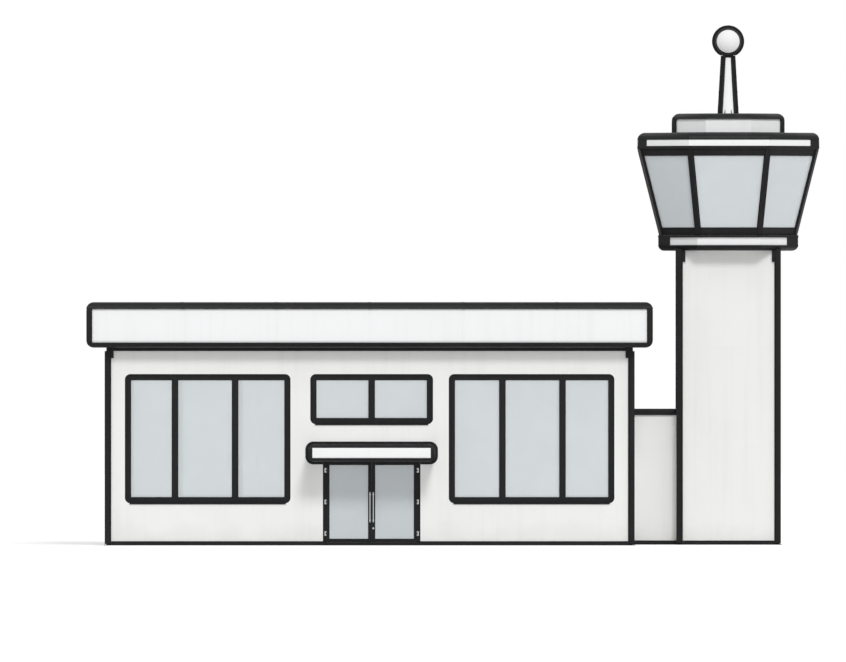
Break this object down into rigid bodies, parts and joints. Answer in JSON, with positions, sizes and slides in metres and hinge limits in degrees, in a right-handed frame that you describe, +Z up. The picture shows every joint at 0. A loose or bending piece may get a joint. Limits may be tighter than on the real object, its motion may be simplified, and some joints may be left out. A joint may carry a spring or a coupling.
{
  "type": "airport terminal with control tower",
  "caption": "Small flat-roofed airport terminal with a glazed hall, hinged double entrance doors, a link and a square control tower with a flared glazed cab, cap, mast and ball radome.",
  "frame": {"origin": "on the ground, in the middle of the outline seen from above", "axes": "+X to the right seen from the front, front faces -Y, +Z up"},
  "size_m": [21.9174, 11.02, 15.5499],
  "materials": {
    "wall_render": "matte",
    "floor_concrete": "matte",
    "soffit_panel": "matte",
    "roof_membrane": "matte",
    "white_metal": "satin",
    "dark_metal": "satin",
    "clear_glass": "gloss",
    "steel": "satin",
    "radome_shell": "satin"
  },
  "bodies": {
    "building": {"hall_floor": "floor_concrete", "front_wall_left": "wall_render", "front_wall_right": "wall_render", "front_wall_over_door": "wall_render", "entrance_piers": "wall_render", "back_wall": "wall_render", "left_wall": "wall_render", "right_wall": "wall_render", "hall_corner_posts": "dark_metal", "wall_head_strip": "dark_metal", "ceiling": "soffit_panel", "roof_deck": "roof_membrane", "fascia_front_back": "white_metal", "fascia_ends": "white_metal", "front_window_frames": "dark_metal", "front_window_glass": "clear_glass", "upper_window_frame": "dark_metal", "upper_window_glass": "clear_glass", "back_window_frames": "dark_metal", "back_window_glass": "clear_glass", "end_window_frame": "dark_metal", "end_window_glass": "clear_glass", "door_frame": "dark_metal", "door_hinges": "steel", "canopy": "white_metal", "link_floor": "floor_concrete", "link_walls": "wall_render", "link_roof": "white_metal", "tower_floor": "floor_concrete", "tower_front_wall": "wall_render", "tower_back_wall": "wall_render", "tower_left_wall": "wall_render", "tower_right_wall": "wall_render", "tower_corner_posts": "dark_metal", "cab_floor": "white_metal", "cab_posts": "dark_metal", "cab_rails": "dark_metal", "cab_glass": "clear_glass", "cab_roof": "white_metal", "roof_cap": "white_metal", "mast": "white_metal", "radome": "radome_shell"},
    "left_door": {"left_door_leaf": "dark_metal", "left_door_glass": "clear_glass", "left_door_pulls": "steel"},
    "right_door": {"right_door_leaf": "dark_metal", "right_door_glass": "clear_glass", "right_door_pulls": "steel"}
  },
  "joints": [
    {"name": "left_door_swing", "type": "hinge", "parent": "building", "child": "left_door", "pos_m": [-3.841, -4.013, 1.3], "axis": [0, 0, -1], "range_deg": [0, 90]},
    {"name": "right_door_swing", "type": "hinge", "parent": "building", "child": "right_door", "pos_m": [-1.109, -4.013, 1.3], "axis": [0, 0, 1], "range_deg": [0, 90]}
  ]
}
